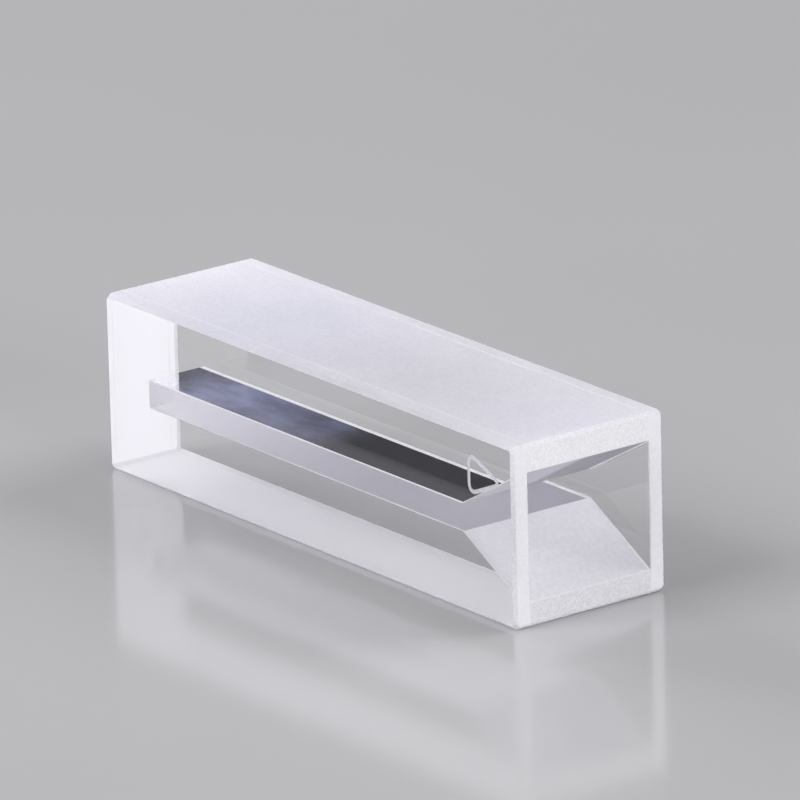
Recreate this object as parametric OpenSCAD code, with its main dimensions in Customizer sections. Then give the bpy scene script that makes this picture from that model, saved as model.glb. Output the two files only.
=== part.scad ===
// Fused quartz cuvette with a 2 mm sample slot and a funnel mouth.
//
// The cuvette lies on one of its ground sides. X runs along it, from the base
// end to the mouth. Y runs along the light path, through both windows. Z is up,
// and the origin is the middle of the side that it lies on.
//
// It is cut as five plates, which are fused face to face. The outside is then
// ground as one block: that is why the edge chamfers belong to ground_block(),
// and each plate takes its share of them.

/* [Outside] */
// Length from the base end to the mouth
cuvette_l = 45; // [25:0.5:60]
// Height over both side walls, as the cuvette lies
cuvette_h = 12.5; // [9:0.1:20]

/* [Windows] */
// Light path, which is the gap between the two windows
light_path = 10; // [2:0.5:20]
// Thickness of each window
window_t = 1.25; // [0.8:0.05:2]

/* [Sample slot] */
// Height of the slot that the sample fills
slot_h = 2; // [0.5:0.1:4]
// How far the slot and the funnel lie above the middle
slot_shift = -0.1; // [-0.3:0.05:0.3]
// Thickness of the block that closes the slot at the base end
floor_t = 4; // [1:0.1:10]

/* [Funnel mouth] */
// Depth of the funnel, from the mouth to the slot
funnel_l = 6.2; // [2:0.1:12]
// Thickness of each side wall at the mouth, with the slot in the middle
rim_t = 1.8; // [1:0.1:2.2]

/* [Ground edges] */
// Chamfer along the four long edges
long_edge_c = 0.25; // [0.1:0.01:0.5]
// Chamfer round the base end and the mouth
end_edge_c = 0.22; // [0.1:0.01:0.5]
// Facet on each outer corner, measured along its edges from the sharp corner
corner_c = 0.6; // [0.3:0.05:0.8]

/* [Hidden] */

cuvette_w = light_path + 2 * window_t;  // over both windows
slot_z = cuvette_h / 2 + slot_shift;    // mid-plane of the slot and the funnel
base_x = -cuvette_l / 2;
mouth_x = cuvette_l / 2;
throat_x = mouth_x - funnel_l;          // where the funnel runs into the slot
mouth_h = cuvette_h - 2 * rim_t;        // opening between the walls at the mouth
past = 1;                               // how far a cutting shape runs past the block
diagonal_rise = atan(1 / sqrt(2));      // slope of a cube's diagonal

ground = "whitesmoke";
polished = "lightcyan";

// Rectangle about the origin, with a 45 degree chamfer on each corner
module chamfered_rectangle(w, h, c) {
    polygon([
        [c - w / 2, -h / 2], [w / 2 - c, -h / 2],
        [w / 2, c - h / 2], [w / 2, h / 2 - c],
        [w / 2 - c, h / 2], [c - w / 2, h / 2],
        [-w / 2, h / 2 - c], [-w / 2, c - h / 2]
    ]);
}

// Block that shaves a flat facet off the corner at the origin.
// (sx, sy, sz) is the way that the corner points.
module corner_cutter(sx, sy, sz) {
    rotate([0, -sz * diagonal_rise, atan2(sy, sx)])
        translate([-corner_c / sqrt(3), -corner_c, -corner_c])
            cube(2 * corner_c);
}

// Outside of the finished cuvette: a block with all its edges broken.
// Each prism runs past the block, so that only its chamfered outline cuts.
module ground_block() {
    translate([0, 0, cuvette_h / 2])
        difference() {
            intersection() {
                rotate([0, 90, 0])
                    linear_extrude(cuvette_l + 2 * past, center = true)
                        chamfered_rectangle(cuvette_h, cuvette_w, long_edge_c);
                rotate([90, 0, 0])
                    linear_extrude(cuvette_w + 2 * past, center = true)
                        chamfered_rectangle(cuvette_l, cuvette_h, end_edge_c);
                linear_extrude(cuvette_h + 2 * past, center = true)
                    chamfered_rectangle(cuvette_l, cuvette_w, end_edge_c);
            }
            for (sx = [-1, 1], sy = [-1, 1], sz = [-1, 1])
                translate([sx * cuvette_l, sy * cuvette_w, sz * cuvette_h] / 2)
                    corner_cutter(sx, sy, sz);
        }
}

// Side wall above the slot's mid-plane, which is at z = 0 here. Its inner face
// is level along the slot, then slopes away to the rim, which makes one side of
// the funnel. outer_z is where the wall's outer face lies.
module side_wall(outer_z) {
    rotate([90, 0, 0])
        linear_extrude(light_path, center = true)
            polygon([
                [base_x, slot_h / 2],
                [throat_x, slot_h / 2],
                [mouth_x, mouth_h / 2],
                [mouth_x, outer_z],
                [base_x, outer_z]
            ]);
}

// Window plate beside the walls. side is -1 at the front and 1 at the rear.
module window_plate(side) {
    translate([base_x, side * (light_path + window_t) / 2 - window_t / 2, 0])
        cube([cuvette_l, window_t, cuvette_h]);
}

// Wall under the slot, which the cuvette lies on
module lower_wall() {
    color(ground)
        intersection() {
            ground_block();
            translate([0, 0, slot_z]) mirror([0, 0, 1]) side_wall(slot_z);
        }
}

// Wall over the slot
module upper_wall() {
    color(ground)
        intersection() {
            ground_block();
            translate([0, 0, slot_z]) side_wall(cuvette_h - slot_z);
        }
}

// Small block between the walls, which is the floor of the upright cuvette
module floor_block() {
    color(ground)
        translate([base_x, -light_path / 2, slot_z - slot_h / 2])
            cube([floor_t, light_path, slot_h]);
}

// Polished plate that the light comes in by
module front_window() {
    color(polished, 0.4)
        intersection() {
            ground_block();
            window_plate(-1);
        }
}

// Polished plate that the light leaves by
module rear_window() {
    color(polished, 0.4)
        intersection() {
            ground_block();
            window_plate(1);
        }
}

lower_wall();
upper_wall();
floor_block();
front_window();
rear_window();
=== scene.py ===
# %% [markdown]
# # A fused quartz cuvette
#
# A cuvette holds a liquid sample in a beam of light. This one is cut as five
# plates of clear quartz, which are fused face to face. Its two windows are
# polished. Every other outer face is ground, so it scatters light and looks white.
# The CAD model fixes its size and place. This script gives it its looks: one body
# of glass with broken edges, an engraved mark and a finish for each kind of face.

# %% Load the fixed frame
import math
import random

import bmesh
import bpy
from mathutils import Matrix, Quaternion, Vector, noise


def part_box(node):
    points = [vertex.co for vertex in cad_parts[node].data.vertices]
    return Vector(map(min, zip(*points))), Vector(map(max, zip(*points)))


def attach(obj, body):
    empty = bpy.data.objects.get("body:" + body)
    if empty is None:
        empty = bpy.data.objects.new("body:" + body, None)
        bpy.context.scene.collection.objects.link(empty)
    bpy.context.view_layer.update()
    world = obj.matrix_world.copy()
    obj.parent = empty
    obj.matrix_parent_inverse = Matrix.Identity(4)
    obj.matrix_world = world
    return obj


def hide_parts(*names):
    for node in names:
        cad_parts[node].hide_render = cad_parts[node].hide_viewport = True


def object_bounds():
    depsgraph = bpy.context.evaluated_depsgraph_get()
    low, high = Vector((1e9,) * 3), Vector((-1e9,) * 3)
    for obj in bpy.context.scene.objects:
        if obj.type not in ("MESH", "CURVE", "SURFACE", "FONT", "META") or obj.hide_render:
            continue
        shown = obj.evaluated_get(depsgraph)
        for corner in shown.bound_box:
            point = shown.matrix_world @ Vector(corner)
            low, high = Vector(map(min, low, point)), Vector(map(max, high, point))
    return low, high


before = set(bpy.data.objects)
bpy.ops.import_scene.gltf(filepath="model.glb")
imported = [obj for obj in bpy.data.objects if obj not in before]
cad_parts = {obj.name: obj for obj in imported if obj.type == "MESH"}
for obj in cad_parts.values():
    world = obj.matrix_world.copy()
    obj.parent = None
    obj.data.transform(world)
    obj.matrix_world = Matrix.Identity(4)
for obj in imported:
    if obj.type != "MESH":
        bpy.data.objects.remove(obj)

MM = 0.001
cad_low, cad_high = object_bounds()
print("CAD box in mm:", [round(side / MM, 3) for side in cad_high - cad_low])

# %% [markdown]
# ## The camera
#
# The cuvette is 45 mm long. It is seen from the side of its mouth and a little above,
# with next to no perspective. A long lens from far away gives that: 500 mm at 0.74 m.
# The camera leans a little, so its picture is turned by the roll angle.

# %% Make the camera
AZIMUTH = math.radians(53.2)
ELEVATION = math.radians(17.9)
ROLL = math.radians(-1.44)
DISTANCE = 741 * MM
AIM = Vector((0.17, 1.55, 8.71)) * MM
LENS = 500
SENSOR = 36
NEAREST = 0.01
FARTHEST = 20


def towards(azimuth, elevation):
    """Unit vector from the cuvette to a place round it. Azimuth 0 is in front of the front window."""
    level = math.cos(elevation)
    return Vector((math.sin(azimuth) * level, -math.cos(azimuth) * level, math.sin(elevation)))


def link(name, data):
    """A new object for this data, in the scene."""
    thing = bpy.data.objects.new(name, data)
    bpy.context.scene.collection.objects.link(thing)
    return thing


def face_to(thing, place, target, roll=0.0):
    """Puts a camera or a lamp at a place and turns it to its target."""
    thing.location = place
    thing.rotation_mode = "QUATERNION"
    aim = (target - place).to_track_quat("-Z", "Y")
    thing.rotation_quaternion = aim @ Quaternion((0, 0, 1), roll)


camera = link("camera", bpy.data.cameras.new("camera"))
camera.data.lens = LENS
camera.data.sensor_width = SENSOR
camera.data.clip_start = NEAREST
camera.data.clip_end = FARTHEST
face_to(camera, AIM + towards(AZIMUTH, ELEVATION) * DISTANCE, AIM, ROLL)
bpy.context.scene.camera = camera
print("camera at", [round(c, 3) for c in camera.location])

# %% [markdown]
# ## Fusing the plates
#
# Where two plates are fused, the joint has no air in it, so light goes straight
# through. Five touching glass objects would look wrong, because the renderer would
# bend and mirror the light at each joint, so the plates have to become one body.
# First each CAD plate is copied. The work is done in millimetres, with the corners
# rounded to a tenth of a micron, so that faces that meet do so exactly.

# %% Copy the five plates
PLATES = ("lower_wall", "upper_wall", "floor_block", "front_window", "rear_window")
DECIMALS = 4
WELD = 1e-4


def as_object(shape, name):
    """Ends the work on a bmesh, and puts it in the scene as an object."""
    mesh = bpy.data.meshes.new(name)
    shape.to_mesh(mesh)
    shape.free()
    return link(name, mesh)


def plate_in_mm(node):
    """A copy of a CAD plate as a closed mesh in millimetres."""
    shape = bmesh.new()
    shape.from_mesh(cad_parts[node].data)
    bmesh.ops.scale(shape, vec=(1 / MM,) * 3, verts=shape.verts)
    bmesh.ops.remove_doubles(shape, verts=shape.verts, dist=WELD)
    for corner in shape.verts:
        corner.co = [round(c, DECIMALS) for c in corner.co]
    return as_object(shape, node + "_copy")


copies = [plate_in_mm(node) for node in PLATES]
print(len(copies), "plates copied")

# %% [markdown]
# ## One closed body
#
# The copies are united with Boolean modifiers. The same helper cuts the engraving
# later on. A union leaves lines on the flat faces where the plates met, so flat
# neighbours are joined again: the visible seams are made one by one further down.

# %% Unite the copies
SAME_PLANE = math.radians(0.1)


def combine(first, operation, others):
    """A bmesh of the first object with the others added to it or cut out of it."""
    for other in others:
        step = first.modifiers.new(operation.lower(), "BOOLEAN")
        step.operation = operation
        step.solver = "MANIFOLD"
        step.object = other
    evaluated = first.evaluated_get(bpy.context.evaluated_depsgraph_get())
    shape = bmesh.new()
    shape.from_mesh(evaluated.to_mesh())
    evaluated.to_mesh_clear()
    for used in (first, *others):
        bpy.data.objects.remove(used)
    bmesh.ops.remove_doubles(shape, verts=shape.verts, dist=WELD)
    return shape


def report(shape, step):
    """Prints the size of a mesh, and how many of its edges don't join two faces."""
    loose = sum(not edge.is_manifold for edge in shape.edges)
    volume = shape.calc_volume()
    print(f"{step}: {len(shape.faces)} faces, {loose} open edges, {volume:.1f} mm3")


quartz = combine(copies[0], "UNION", copies[1:])
bmesh.ops.dissolve_limit(quartz, angle_limit=SAME_PLANE, verts=quartz.verts, edges=quartz.edges)
report(quartz, "fused body")

# %% [markdown]
# ## The engraved mark
#
# A maker engraves a small sign near the mouth, so that the cuvette always goes in
# the same way round. Here it is a plain triangle that points at the mouth. It is a
# three-sided circle, drawn out to a point, its corners rounded with a bevel, inset to
# leave an outline, and extruded to a shallow cutter.

# %% Make the cutter
MARK_RADIUS = 1.9
MARK_STRETCH = 1.35
MARK_ROUNDING = 1.0
MARK_CORNER_STEPS = 6
MARK_LINE = 0.28
MARK_DEPTH = 0.02
MARK_FROM_MOUTH = 3.5
MARK_HEIGHT = 9.7

front_y = cad_low.y / MM
mouth_x = cad_high.x / MM
top_z = cad_high.z / MM


def mark_cutter():
    """The outline triangle as a thin closed solid that reaches into the front window."""
    shape = bmesh.new()
    bmesh.ops.create_circle(shape, cap_ends=True, segments=3, radius=MARK_RADIUS)
    bmesh.ops.scale(shape, vec=(1, MARK_STRETCH, 1), verts=shape.verts)
    bmesh.ops.bevel(
        shape, geom=shape.verts, affect="VERTICES", offset=MARK_ROUNDING,
        segments=MARK_CORNER_STEPS, profile=0.5, material=-1,
    )
    filled = shape.faces[:]
    bmesh.ops.inset_region(
        shape, faces=filled, thickness=MARK_LINE, use_even_offset=True, use_boundary=True,
    )
    bmesh.ops.delete(shape, geom=filled, context="FACES")
    outline = bmesh.ops.extrude_face_region(shape, geom=shape.faces[:])["geom"]
    raised = [part for part in outline if isinstance(part, bmesh.types.BMVert)]
    bmesh.ops.translate(shape, vec=(0, 0, 2 * MARK_DEPTH), verts=raised)
    bmesh.ops.recalc_face_normals(shape, faces=shape.faces)
    point_at_mouth = Matrix.Rotation(math.radians(-90), 4, "Z")
    stand_up = Matrix.Rotation(math.radians(90), 4, "X")
    place = Matrix.Translation((mouth_x - MARK_FROM_MOUTH, front_y + MARK_DEPTH, MARK_HEIGHT))
    bmesh.ops.transform(shape, matrix=place @ stand_up @ point_at_mouth, verts=shape.verts)
    report(shape, "mark cutter")
    return as_object(shape, "mark_cutter")


# %% [markdown]
# ## Cutting the mark
#
# A face can't have a hole in it, so a Boolean would leave a face that doubles back on
# itself round the mark, and such a face may be filled wrongly later. To prevent that,
# the window is first divided by cuts that cross in the middle of the mark. Others run
# a little inside its border, so that the chips of its edges stay clear of the mark.

# %% Engrave the triangle
PANEL_BORDER = 0.75


def cut(shape, faces, place, across=(0, 1, 0)):
    """Cuts these faces with a plane through a place, and leaves both sides joined."""
    around = {part for face in faces for part in (face, *face.edges, *face.verts)}
    bmesh.ops.bisect_plane(shape, geom=list(around), dist=WELD / 10, plane_co=place, plane_no=across)


def front_faces(shape):
    """The faces of the outer side of the front window."""
    return [face for face in shape.faces if face.calc_center_median().y < front_y + 2 * MARK_DEPTH]


for x in (cad_low.x / MM + PANEL_BORDER, mouth_x - MARK_FROM_MOUTH, mouth_x - PANEL_BORDER):
    cut(quartz, front_faces(quartz), (x, 0, 0), (1, 0, 0))
for z in (PANEL_BORDER, MARK_HEIGHT, top_z - PANEL_BORDER):
    cut(quartz, front_faces(quartz), (0, 0, z), (0, 0, 1))
quartz = combine(as_object(quartz, "body"), "DIFFERENCE", [mark_cutter()])
report(quartz, "engraved body")

# %% [markdown]
# ## A finish for each kind of face
#
# Each face of the body is now told what was done to it in the workshop. The place
# and the direction of a face are enough to tell: what faces the beam is polished,
# the inside of the slot is only half polished, and the rest is ground. Sawing and
# grinding leave a broken edge round the block, and the engraving is a finish too.
# The places to compare with come from the CAD model's own boxes.

# %% Name the finishes and the places
FINISHES = (
    "polished_window", "ground_side", "resting_side_painted_light", "sawn_rim", "window_end", "long_edge",
    "broken_edge", "fused_seam", "lapped_ceiling", "slot_floor", "slot_end", "lower_funnel",
    "upper_funnel_painted_shade", "rough_margin", "engraved_line",
)
WINDOW_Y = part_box("front_window")[1].y / MM
SLOT_END_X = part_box("floor_block")[1].x / MM
LEAST_RIM = 1
half_wide = -front_y
inner_y = -WINDOW_Y
print("cavity from", SLOT_END_X, "to", mouth_x, "and", inner_y, "mm to each side")


def is_inside(place):
    """Whether a place is in the cavity, or on its walls."""
    return abs(place.y) < inner_y + WELD and LEAST_RIM < place.z < top_z - LEAST_RIM


# %% [markdown]
# ## Telling the faces apart
#
# A face that looks along an axis has a normal whose largest part is close to 1, and
# a chamfer of a long edge has no part of it along the block. The walls and the floor
# of the engraving lie a hair behind the window's surface, and no other face does.

# %% Tell the finish of a face
STRAIGHT = 0.999
SQUARE_TO = 0.001
OBLIQUE = (0.1, 0.9)


def finish_of(face):
    """The name of the finish of one face of the body, from its place and direction."""
    middle = face.calc_center_median()
    along, across, up = (abs(c) for c in face.normal)
    straight = max(along, across, up) > STRAIGHT
    oblique = OBLIQUE[0] < across < OBLIQUE[1]
    in_cavity = all(is_inside(corner.co) for corner in face.verts) and middle.x < mouth_x - WELD
    if WELD < half_wide - abs(middle.y) < 2 * MARK_DEPTH and not oblique:
        return "engraved_line"
    if across > STRAIGHT:
        return "polished_window"
    if in_cavity and along > STRAIGHT:
        return "slot_end"
    if in_cavity and straight:
        return "slot_floor" if face.normal.z > 0 else "lapped_ceiling"
    if in_cavity:
        return "lower_funnel" if face.normal.z > 0 else "upper_funnel_painted_shade"
    if not straight:
        return "long_edge" if along < SQUARE_TO else "broken_edge"
    if middle.x > mouth_x - WELD:
        return "sawn_rim"
    return "resting_side_painted_light" if face.normal.z < -STRAIGHT else "ground_side"


# %% [markdown]
# ## Marking the faces
#
# A face keeps one number, the index of its material. So the place of a finish in the
# list above is its number, and the materials will be added in the same order.

# %% Sort the faces by finish
def set_finish(faces, finish):
    """Gives these faces a finish."""
    for face in faces:
        face.material_index = FINISHES.index(finish)


def faces_of(shape, *finishes):
    """All the faces that have one of these finishes."""
    wanted = [FINISHES.index(finish) for finish in finishes]
    return [face for face in shape.faces if face.material_index in wanted]


for face in quartz.faces:
    set_finish([face], finish_of(face))
for finish in FINISHES:
    faces = faces_of(quartz, finish)
    print(finish, len(faces), "faces", round(sum(face.calc_area() for face in faces), 2), "mm2")

# %% [markdown]
# ## The seams
#
# After fusing, the block is ground flat as one piece, but a fine line stays where
# two plates meet. On the top, the bottom and the base end it is a groove that the
# grinding has opened a little. Three cuts across the face make the sides and the
# bottom of the groove, and the middle one is pushed in. The two narrow faces get a
# finish of their own. The mouth's rim has no groove, but the windows are of a finer
# plate than the walls, so one cut sets their ends apart.

# %% Cut the seams
SEAM_HALF = 0.035
SEAM_DEPTH = 0.015

for side in (-inner_y, inner_y):
    for shift in (-SEAM_HALF, 0, SEAM_HALF):
        crossed = faces_of(quartz, "ground_side", "resting_side_painted_light", "broken_edge")
        cut(quartz, crossed, (0, side + shift, 0))
seam = [
    face for face in faces_of(quartz, "ground_side", "resting_side_painted_light")
    if abs(abs(face.calc_center_median().y) - inner_y) < SEAM_HALF
]
set_finish(seam, "fused_seam")
for side in (-inner_y, inner_y):
    cut(quartz, faces_of(quartz, "sawn_rim"), (0, side, 0))
window_ends = [
    face for face in faces_of(quartz, "sawn_rim") if abs(face.calc_center_median().y) > inner_y
]
set_finish(window_ends, "window_end")
grooved = 0
quartz.normal_update()
for corner in quartz.verts:
    around = {FINISHES[face.material_index] for face in corner.link_faces}
    if abs(abs(corner.co.y) - inner_y) < WELD and around <= {"fused_seam", "broken_edge"}:
        corner.co -= corner.normal * SEAM_DEPTH
        grooved += 1
print(len(seam), "faces of seam,", grooved, "corners pushed in")
report(quartz, "seams")

# %% [markdown]
# ## Broken edges inside
#
# The mouth and the inside of the cavity have no wide chamfer, because nobody can
# reach in there with a stone. Their edges are only a hair broken, and the ones at
# the mouth are chipped. A bevel with one segment gives every one of them a narrow
# face of its own, which is what catches the light.

# %% Break the inner edges
INNER_BREAK = 0.045


def is_inner_edge(edge):
    """Whether this edge is a joint or a corner of the cavity, or the edge of its mouth."""
    finishes = {FINISHES[face.material_index] for face in edge.link_faces}
    return len(finishes) == 2 and all(is_inside(corner.co) for corner in edge.verts)


inner_edges = [edge for edge in quartz.edges if is_inner_edge(edge)]
print(len(inner_edges), "inner edges,", round(sum(edge.calc_length() for edge in inner_edges), 1), "mm")
broken = bmesh.ops.bevel(
    quartz, geom=inner_edges, affect="EDGES", offset_type="OFFSET", offset=INNER_BREAK,
    segments=1, profile=0.5, material=-1,
)
set_finish(broken["faces"], "broken_edge")
quartz.normal_update()
report(quartz, "inner edges broken")

# %% [markdown]
# ## Rough margins at the joints
#
# A lap can't reach quite into the corner beside a window that is already fused on.
# So a margin of each wall stays rough along both windows, and shows as a light line
# through the glass. It is wider at the rear. In the upper half of the funnel it runs
# out towards the mouth. One upright cut along each wall sets its margin apart.

# %% Leave the margins
throat_x = min(corner.co.x for face in faces_of(quartz, "lower_funnel") for corner in face.verts)
REAR, FRONT = 1, -1
MARGINS = (  # the wall, its side, and how wide the margin is at the throat and at the mouth
    ("slot_floor", REAR, 0.38, 0.38), ("slot_floor", FRONT, 0.18, 0.18),
    ("lapped_ceiling", REAR, 0.85, 0.85), ("lapped_ceiling", FRONT, 0.22, 0.22),
    ("lower_funnel", REAR, 0.12, 0.12), ("lower_funnel", FRONT, 0.1, 0.1),
    ("upper_funnel_painted_shade", REAR, 0.42, 0.06), ("upper_funnel_painted_shade", FRONT, 0.08, 0.08),
)
print("throat at", round(throat_x, 2), "mm")


def leave_margin(shape, wall, side, at_throat, at_mouth):
    """Cuts one wall of the cavity along one of its joints, and gives the margin its own finish."""
    faces = faces_of(shape, wall)
    start = Vector((throat_x, side * (inner_y - at_throat), 0))
    end = Vector((mouth_x, side * (inner_y - at_mouth), 0))
    to_window = Vector((0, 0, side)).cross(end - start).normalized()
    before = set(shape.faces)
    cut(shape, faces, start, to_window)
    faces += [face for face in shape.faces if face not in before]
    margin = [face for face in faces if (face.calc_center_median() - start).dot(to_window) > 0]
    set_finish(margin, "rough_margin")
    return sum(face.calc_area() for face in margin)


for margin in MARGINS:
    print(margin, round(leave_margin(quartz, *margin), 2), "mm2")
report(quartz, "margins")

# %% [markdown]
# ## Chips
#
# Quartz is brittle, so every ground edge is a row of tiny chips. To make room for
# them, the narrow faces of the broken edges are divided along their length into
# pieces a tenth of a millimetre long.

# %% Divide the edges
CHIPPED = ("long_edge", "broken_edge")
CHIP_STEP = 0.1


def divide(shape, strip):
    """Cuts a long four-sided face into short ones along its length."""
    long_sides = sorted(strip.edges, key=lambda edge: edge.calc_length())[-2:]
    pieces = round(long_sides[0].calc_length() / CHIP_STEP)
    if len(strip.verts) == 4 and pieces > 2:
        bmesh.ops.subdivide_edges(shape, edges=long_sides, cuts=pieces - 1)


for strip in faces_of(quartz, *CHIPPED):
    divide(quartz, strip)
quartz.normal_update()
report(quartz, "divided edges")

# %% [markdown]
# ## Chips by chance
#
# Each new corner on the border of a broken edge is moved into the wide face beside
# it, by chance and mostly very little. It never leaves the plane of that wide face,
# so the windows and the sides stay flat. A soft noise brings the deeper chips
# together in clusters, and they are deepest at the mouth, where the saw came out.

# %% Chip the edges
OUTER_CHIP = (0.035, 0.08)
MOUTH_CHIP = (0.06, 0.3)
JOINT_CHIP = (0.03, 0.12)
CHIP_CLUSTER = 2.4
NO_CLUSTER = 0.25
SAME_STRIP = 0.9
random.seed(45)


def chip_sizes(place):
    """How deep the usual and the rare chips are at this place."""
    near_cavity = abs(place.y) < inner_y + 2 * INNER_BREAK and LEAST_RIM < place.z < top_z - LEAST_RIM
    if not near_cavity:
        return OUTER_CHIP
    return MOUTH_CHIP if place.x > mouth_x - 2 * INNER_BREAK else JOINT_CHIP


def chip(corner):
    """Moves a corner on the border of a broken edge into the wide face beside it."""
    narrow = [face for face in corner.link_faces if FINISHES[face.material_index] in CHIPPED]
    wide = [face for face in corner.link_faces if face not in narrow]
    if len(narrow) != 2 or len(wide) != 1 or narrow[0].normal.dot(narrow[1].normal) < SAME_STRIP:
        return 0
    usual, rare = chip_sizes(corner.co)
    cluster = max(0.0, noise.noise(corner.co * CHIP_CLUSTER) - NO_CLUSTER)
    depth = usual * random.random() ** 2 + rare * cluster * random.random()
    away = corner.co - (narrow[0].calc_center_median() + narrow[1].calc_center_median()) / 2
    away -= wide[0].normal * away.dot(wide[0].normal)
    corner.co += away.normalized() * depth
    return depth


depths = [chip(corner) for corner in quartz.verts]
quartz.normal_update()
report(quartz, "chipped edges")
print("deepest chip", round(max(depths), 3), "mm,", sum(depth > 0 for depth in depths), "corners moved")

# %% [markdown]
# ## The finished body
#
# The body goes back to metres, and becomes one object that stands for all five
# plates of the CAD model. It rides on the one body that the cuvette has.

# %% Make the body an object
bmesh.ops.scale(quartz, vec=(MM,) * 3, verts=quartz.verts)
cuvette = as_object(quartz, "fused_cuvette")
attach(cuvette, "root")
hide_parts(*PLATES)
print(cuvette.name, len(cuvette.data.polygons), "faces")

# %% [markdown]
# ## Shader sums as Python
#
# A pattern is a sum of noises. In the editor each plus or minus is a Math node, and
# a long sum is hard to read. Here a small class holds the output of a node, and
# writes those nodes for us when we write the sum.

# %% Wrap the output of a node
class Wire:
    """The output of a node. A sum that is written with it adds Math nodes to its tree."""

    def __init__(self, board, socket):
        self.board, self.socket = board, socket

    def maths(self, operation, first, second):
        """Adds one Math node."""
        return self.board.node("ShaderNodeMath", {"operation": operation}, {0: first, 1: second})

    def __add__(self, other):
        return self.maths("ADD", self, other)

    def __sub__(self, other):
        return self.maths("SUBTRACT", self, other)

    def __rsub__(self, other):
        return self.maths("SUBTRACT", other, self)

    def __mul__(self, other):
        return self.maths("MULTIPLY", self, other)

    __radd__ = __add__
    __rmul__ = __mul__


# %% [markdown]
# ## One way to add a node
#
# A material and the world each have a tree of nodes. The class below empties such a
# tree, and its one method adds every node: the type, then its settings, then a value
# or a wire for each socket.

# %% Build trees of nodes
class Board:
    """The node tree of a material or of the world."""

    def __init__(self, owner):
        owner.use_nodes = True
        self.tree = owner.node_tree
        self.tree.nodes.clear()

    def node(self, kind, settings, sockets, output=0):
        """Adds a node: first its settings, then the values or wires of its sockets."""
        made = self.tree.nodes.new(kind)
        for setting, value in settings.items():
            setattr(made, setting, value)
        for socket, value in sockets.items():
            if isinstance(value, Wire):
                self.tree.links.new(value.socket, made.inputs[socket])
            else:
                made.inputs[socket].default_value = value
        return Wire(self, made.outputs[output]) if made.outputs else None


# %% [markdown]
# ## What the finishes share
#
# A finish is a material with the few patterns that all of the block shares. They are
# measured in millimetres on the piece itself, so they stay where they are when the
# piece moves, and run on from one face to the next.

# %% Share the patterns
class Finish(Board):
    """A material of the cuvette or of the floor."""

    def __init__(self, name):
        self.material = bpy.data.materials.new(name)
        super().__init__(self.material)
        place = self.node("ShaderNodeTexCoord", {}, {}, "Object")
        self.place = self.node(
            "ShaderNodeVectorMath", {"operation": "SCALE"}, {0: place, "Scale": 1 / MM},
        )

    def noise(self, size, detail=2.0):
        """A soft noise round 0.5, with blotches of about this size in millimetres."""
        sockets = {"Vector": self.place, "Scale": 1 / size, "Detail": detail}
        return self.node("ShaderNodeTexNoise", {}, sockets)

    def spread(self, value, low, high):
        """Spreads what lies between two values over 0 to 1, and flattens the rest."""
        sockets = {"Value": value, "From Min": low, "From Max": high}
        return self.node("ShaderNodeMapRange", {"interpolation_type": "SMOOTHSTEP"}, sockets)

    def along(self, axis, start, end):
        """From 0 at one place on an axis to 1 at another, both in millimetres."""
        place = self.node("ShaderNodeSeparateXYZ", {}, {0: self.place}, axis)
        return self.spread(place, start, end)

    def blend(self, mask, first, second):
        """A colour between two colours."""
        sockets = {0: mask, 6: (*first, 1), 7: (*second, 1)}
        return self.node("ShaderNodeMix", {"data_type": "RGBA"}, sockets, 2)

    def bump(self, height, depth):
        """The normal of a surface that is this uneven, in millimetres."""
        return self.node("ShaderNodeBump", {}, {"Height": height, "Distance": depth * MM})

    def show(self, shader):
        """Ends the material with this shader, and keeps it for the faces of its finish."""
        self.node("ShaderNodeOutputMaterial", {}, {"Surface": shader})
        finished[self.material.name] = self.material


finished = {}

# %% [markdown]
# ## Polished windows
#
# Clear quartz has no colour. It lets all the light in, bends it by its index of
# refraction, and mirrors a few per cent. What makes the window look real are the
# specks of dust and the faint veil that a wipe leaves. Both only make its surface a
# little rougher.

# %% Polish the windows
QUARTZ_IOR = 1.4585
CLEAR = (1, 1, 1, 1)
DUST_SIZE = 0.28
DUST_RANGE = (0.7, 0.76)
VEIL_SIZE = 5.0
VEIL_RANGE = (0.45, 0.7)


def polish(name, veil, dust):
    """A finish of clear quartz, with the roughness of its veil and of its dust."""
    finish = Finish(name)
    specks = finish.spread(finish.noise(DUST_SIZE, detail=1.0), *DUST_RANGE)
    wipe = finish.spread(finish.noise(VEIL_SIZE), *VEIL_RANGE)
    finish.show(finish.node("ShaderNodeBsdfPrincipled", {}, {
        "Base Color": CLEAR,
        "Roughness": specks * dust + wipe * veil,
        "IOR": QUARTZ_IOR,
        "Transmission Weight": 1.0,
    }))


polish("polished_window", veil=0.006, dust=0.12)
print("quartz bends light by", QUARTZ_IOR)

# %% [markdown]
# ## Ground quartz
#
# A ground face is a field of tiny pits. Light that comes from outside is partly
# thrown back, which looks white, and mostly scattered through the face into the
# quartz. Light that comes from inside is mirrored back much more, because many pits
# are too steep for it to get out. A rough glass shader gets only the first half
# right, and leaves the inner side far too dark. So two shaders are mixed: a matt one
# for the light in front, and a translucent one for the light from behind. The share
# of the second is set for each side of a face. On the outer sides and the edges it is
# smaller on the inside, which keeps the light in. Elsewhere the two are close.
#
# The matt shader has two tones, which the grain mixes. Some faces also fade: between
# two places on an axis the pale tone slowly takes over. Most of these fades are painted
# light and painted shade. From the inside almost all of a face has its pale tone,
# because quartz itself soaks up no light.

# %% Make a ground finish
THROUGH = (0.965, 0.957, 0.995, 1)
PATCH_SIZE = 4.0
PIT_WEIGHT = 0.8
PATCH_WEIGHT = 0.2
TONE_RANGE = (0.34, 0.66)
PALE_INSIDE = 0.85
PIT_ROUGHNESS = 0.3


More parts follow.
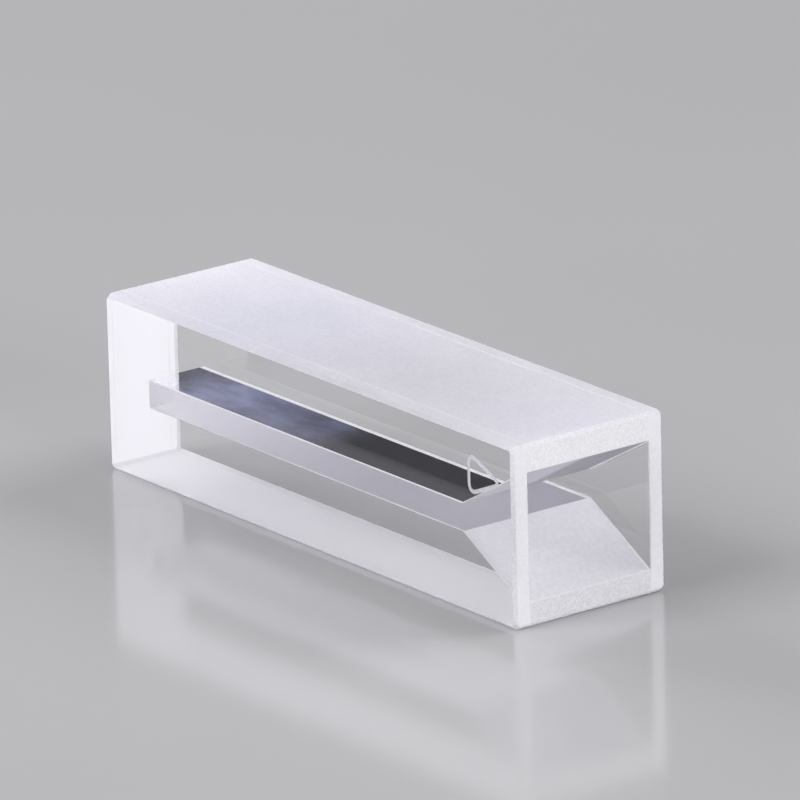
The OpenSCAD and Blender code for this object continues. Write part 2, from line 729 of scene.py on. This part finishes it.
def grind(name, dark, pale, grain, depth, roughness, shares, fade=None):
    """A finish of ground quartz. Grain and depth are in millimetres.

    Its shares say how much of it is translucent, seen from outside and from inside. A fade
    has an axis, the places where it starts and ends, and how far it takes over from the grain.
    """
    finish = Finish(name)
    pits = finish.noise(grain, detail=3.0)
    patches = finish.noise(PATCH_SIZE)
    tone = finish.spread(pits * PIT_WEIGHT + patches * PATCH_WEIGHT, *TONE_RANGE)
    if fade:
        axis, start, end, weight = fade
        tone = finish.along(axis, start, end) * weight + tone * (1 - weight)
    from_inside = finish.node("ShaderNodeNewGeometry", {}, {}, "Backfacing")
    tone = tone + from_inside * (1 - tone) * PALE_INSIDE
    normal = finish.bump(pits, depth)
    matt = finish.node("ShaderNodeBsdfPrincipled", {}, {
        "Base Color": finish.blend(tone, dark, pale),
        "Roughness": pits * PIT_ROUGHNESS + (roughness - PIT_ROUGHNESS / 2),
        "IOR": QUARTZ_IOR,
        "Normal": normal,
    })
    through = finish.node("ShaderNodeBsdfTranslucent", {}, {"Color": THROUGH, "Normal": normal})
    outside, inside = shares
    share = outside - from_inside * (outside - inside)
    finish.show(finish.node("ShaderNodeMixShader", {}, {0: share, 1: matt, 2: through}))


# %% [markdown]
# ## The ground sides
#
# The top, the base end and the resting side come from the same fine wheel. The first
# two are painted a little paler towards the rear window, as painted light from the rear.
# The resting side lies on the table, so it gets next to no light through it. Its whiteness
# comes from the light inside the block and from its tones, which are painted paler than
# those of the other sides: painted light for the light that it lacks.

# %% Grind the outer sides
# The fade towards the rear window is painted light from the rear.
SIDE_PAINTED_LIGHT = ("Y", -6, 6, 0.3)
grind(
    "ground_side", dark=(0.61, 0.60, 0.66), pale=(0.90, 0.89, 0.94),
    grain=0.17, depth=0.006, roughness=0.75, shares=(0.65, 0.46), fade=SIDE_PAINTED_LIGHT,
)
# The resting side's pale tones are painted light, for the light that it lacks.
grind(
    "resting_side_painted_light", dark=(0.93, 0.92, 0.97), pale=(0.99, 0.98, 1.0),
    grain=0.2, depth=0.006, roughness=0.75, shares=(0.65, 0.05),
)
print("light through a ground side is tinted", THROUGH[:3])

# %% [markdown]
# ## The rim of the mouth
#
# The mouth was sawn and only roughly ground, so its grain is coarser and it sparkles.
# It throws more light back than the fine faces do. Its lower part is painted darker than
# its upper part: painted shade near the table. The ends of the windows are finer.

# %% Saw the rim
# The fade up the rim is painted shade, darker near the table.
RIM_PAINTED_SHADE = ("Z", 0, 11, 0.4)
grind(
    "sawn_rim", dark=(0.70, 0.69, 0.73), pale=(1.0, 0.99, 1.0),
    grain=0.14, depth=0.01, roughness=0.75, shares=(0.3, 0.35), fade=RIM_PAINTED_SHADE,
)
grind(
    "window_end", dark=(0.90, 0.89, 0.93), pale=(0.97, 0.96, 1.0),
    grain=0.2, depth=0.006, roughness=0.75, shares=(0.3, 0.35),
)
print("the mouth is finished")

# %% [markdown]
# ## Broken edges and seams
#
# A broken edge is all tiny cracks, so its two tones lie far apart and it sparkles. The
# long outer edges were run over a wheel, and let more light through than the short
# ones do. The seams are pale too, because the paste has chipped both sides of them.

# %% Whiten the edges
CRACK_SIZE = 0.15
CRACKED = (1.0, 0.99, 1.0)
grind(
    "long_edge", dark=(0.80, 0.79, 0.84), pale=CRACKED,
    grain=CRACK_SIZE, depth=0.015, roughness=0.5, shares=(0.8, 0.05),
)
grind(
    "broken_edge", dark=(0.72, 0.71, 0.76), pale=CRACKED,
    grain=CRACK_SIZE, depth=0.015, roughness=0.5, shares=(0.55, 0.1),
)
grind(
    "fused_seam", dark=(0.8, 0.79, 0.84), pale=CRACKED,
    grain=CRACK_SIZE, depth=0.01, roughness=0.6, shares=(0.5, 0.1),
)
print("cracks of", CRACK_SIZE, "mm on the edges")

# %% [markdown]
# ## Inside the slot and the funnel
#
# The floor of the slot is satin, and so are the two slopes of the funnel. The floor
# is painted grey at the throat and white at the closed end: painted shade at the throat,
# and painted light where the ground end lights it.
# The lower slope is paler at the throat than at the mouth. The upper slope is painted
# much darker than the lower one, as painted shade, and its half beside the front window
# is painted paler than the other, as painted light through that window.

# %% Finish the floor, the end and the slopes
SATIN = 0.004
# The floor's fade is painted shade at the throat and painted light at the closed end.
FLOOR_PAINTED_LIGHT = ("X", 8, SLOT_END_X, 0.9)
LOWER_FADE = ("X", 22.5, 17, 0.7)
# The paler half beside the front window is painted light through that window.
UPPER_PAINTED_LIGHT = ("Y", 0.3, -0.9, 0.85)
grind(
    "slot_floor", dark=(0.29, 0.28, 0.34), pale=(1.0, 0.99, 1.0),
    grain=0.25, depth=SATIN, roughness=0.4, shares=(0.35, 0.4), fade=FLOOR_PAINTED_LIGHT,
)
grind(
    "slot_end", dark=(0.8, 0.79, 0.84), pale=(0.88, 0.87, 0.92),
    grain=0.25, depth=0.006, roughness=0.6, shares=(0.5, 0.4),
)
grind(
    "lower_funnel", dark=(0.62, 0.61, 0.66), pale=(0.94, 0.93, 0.98),
    grain=0.3, depth=SATIN, roughness=0.7, shares=(0.4, 0.3), fade=LOWER_FADE,
)
# The upper slope's dark tones are painted shade, and its paler front half is painted light.
grind(
    "upper_funnel_painted_shade", dark=(0.20, 0.19, 0.24), pale=(0.60, 0.59, 0.65),
    grain=0.3, depth=SATIN, roughness=0.7, shares=(0.22, 0.3), fade=UPPER_PAINTED_LIGHT,
)
print("the slot's floor fades from", FLOOR_PAINTED_LIGHT[1], "to", round(SLOT_END_X, 1), "mm")

# %% [markdown]
# ## The ceiling of the slot
#
# The ceiling was lapped nearly clear before the block was fused, so seen through the
# window it is a mirror. A bluish haze lies on its closed half. It sets in sharply
# in the middle of the block, grows slowly from there, and thins out again at the
# closed end, where the lap could turn. The haze is a matt shader, mixed over the
# clear one by a share that clouds and fine specks make uneven.

# %% Lap the ceiling
LAP_GRAIN = 0.2
LAP_DEPTH = 0.0003
LAP_ROUGHNESS = 0.05
LAP_TINT = (0.93, 0.93, 0.97, 1)
CLOUD_SIZE = 3.0
CLOUD_RANGE = (0.3, 0.7)
SPECK_RANGE = (0.4, 0.6)
HAZE_TINT = (0.56, 0.61, 0.95, 1)
HAZE_ROUGHNESS = 0.6
HAZE_STEPS = ((2, -2.5, 0.6), (-3, -11, 0.47), (-13, SLOT_END_X, -0.87))  # from x, to x, gain
HAZE = 0.2
CLOUD_HAZE = 0.16
SPECK_HAZE = 0.03


def lap(name):
    """A finish of half polished quartz, with a haze on the closed half of the slot."""
    finish = Finish(name)
    fine = finish.noise(LAP_GRAIN)
    clouds = finish.spread(finish.noise(CLOUD_SIZE, detail=4.0), *CLOUD_RANGE)
    specks = finish.spread(fine, *SPECK_RANGE)
    clear = finish.node("ShaderNodeBsdfPrincipled", {}, {
        "Base Color": LAP_TINT,
        "Roughness": fine * LAP_ROUGHNESS,
        "IOR": QUARTZ_IOR,
        "Normal": finish.bump(fine, LAP_DEPTH),
        "Transmission Weight": 1.0,
    })
    veil = finish.node("ShaderNodeBsdfPrincipled", {}, {
        "Base Color": HAZE_TINT, "Roughness": HAZE_ROUGHNESS, "IOR": QUARTZ_IOR,
    })
    reach = sum(finish.along("X", start, end) * gain for start, end, gain in HAZE_STEPS)
    haze = reach * (clouds * CLOUD_HAZE + HAZE) + specks * SPECK_HAZE
    finish.show(finish.node("ShaderNodeMixShader", {}, {0: haze, 1: clear, 2: veil}))


lap("lapped_ceiling")
print("haze in", len(HAZE_STEPS), "steps")

# %% [markdown]
# ## The rough margin and the mark
#
# Both were cut by hand, with a coarse paste and with a diamond point, so they are
# matt. The margin is the whiter of the two. With them the list of finishes is
# complete, and the body gets its materials in the order of that list.

# %% Finish the margin and the mark
grind(
    "rough_margin", dark=(0.92, 0.91, 0.96), pale=(1.0, 0.99, 1.0),
    grain=0.2, depth=0.01, roughness=0.7, shares=(0.12, 0.2),
)
grind(
    "engraved_line", dark=(0.50, 0.49, 0.54), pale=(0.70, 0.69, 0.74),
    grain=0.15, depth=0.01, roughness=0.8, shares=(0.4, 0.35),
)
for finish in FINISHES:
    cuvette.data.materials.append(finished[finish])
print(len(cuvette.data.materials), "finishes on the cuvette")

# %% [markdown]
# ## The floor
#
# The cuvette lies on a plain pale table with a satin coat, which mirrors it a little.
# Its underside would flicker if it lay exactly in the plane of the table, so the
# table is a hair lower.

# %% Lay the floor
FLOOR_GAP = 0.04 * MM
FLOOR_REACH = 3
COAT_CLOUD = 60
COAT_RANGE = (0.3, 0.7)
COAT_TONES = ((0.355, 0.355, 0.367), (0.365, 0.365, 0.377))
COAT_ROUGHNESS = 0.12
COAT_IOR = 1.4

sheet = bmesh.new()
bmesh.ops.create_grid(sheet, x_segments=1, y_segments=1, size=FLOOR_REACH)
bmesh.ops.translate(sheet, vec=(0, 0, cad_low.z - FLOOR_GAP), verts=sheet.verts)
floor = as_object(sheet, "floor")

coat = Finish("table_coat")
cloud = coat.spread(coat.noise(COAT_CLOUD), *COAT_RANGE)
coat.show(coat.node("ShaderNodeBsdfPrincipled", {}, {
    "Base Color": coat.blend(cloud, *COAT_TONES),
    "Roughness": COAT_ROUGHNESS,
    "IOR": COAT_IOR,
}))
floor.data.materials.append(finished["table_coat"])
print("floor", FLOOR_GAP / MM, "mm below the cuvette")

# %% [markdown]
# ## The light
#
# The block is lit by large soft boxes, so that no shadow has a hard edge. A weak one
# hangs overhead, one stands low at each end, and one hangs higher before each window.
# The light that enters by the windows and the base end is what makes the ground faces
# glow from inside. The lamps are hidden from mirrors: the table and the polished faces
# would otherwise show them as white squares from some sides, and the plain room is
# what they should show.

# %% Hang the softboxes
LAMP_DISTANCE = 0.6
middle = (cad_low + cad_high) / 2


def softbox(name, azimuth, elevation, size, power):
    """A square lamp, with its size in metres and its power in watts, that no mirror shows."""
    lamp = bpy.data.lights.new(name, "AREA")
    lamp.shape = "SQUARE"
    lamp.size = size
    lamp.energy = power
    place = middle + towards(math.radians(azimuth), math.radians(elevation)) * LAMP_DISTANCE
    hung = link(name, lamp)
    hung.visible_glossy = False
    face_to(hung, place, middle)


softbox("overhead", 0, 88, 0.5, 0.1)
softbox("base_side", -85, 12, 0.3, 3.65)
softbox("mouth_side", 88, 13, 0.2, 1.85)
softbox("front", -15, 40, 0.35, 2.85)
softbox("rear", 165, 40, 0.35, 2.5)
print("softboxes", LAMP_DISTANCE, "m from the cuvette")

# %% [markdown]
# ## The room
#
# The room is nearly dark near the horizon and brighter overhead. The ceiling of the
# slot mirrors the part near the horizon, and so it shows as a dark band.

# %% Light the room
HORIZON_GLOW = 0.012
OVERHEAD_GLOW = 0.6
DIM_BELOW = 0.35
BRIGHT_ABOVE = 0.85

world = bpy.data.worlds.new("room")
bpy.context.scene.world = world
room = Board(world)
direction = room.node("ShaderNodeTexCoord", {}, {}, "Generated")
height = room.node("ShaderNodeSeparateXYZ", {}, {0: direction}, "Z")
rise = room.node("ShaderNodeMapRange", {}, {
    "Value": height, "From Min": DIM_BELOW, "From Max": BRIGHT_ABOVE,
    "To Min": HORIZON_GLOW, "To Max": OVERHEAD_GLOW,
})
glow = room.node("ShaderNodeBackground", {}, {"Color": (1, 1, 1, 1), "Strength": rise})
room.node("ShaderNodeOutputWorld", {}, {"Surface": glow})
bpy.context.scene.view_settings.view_transform = "Standard"
print("world", world.name)
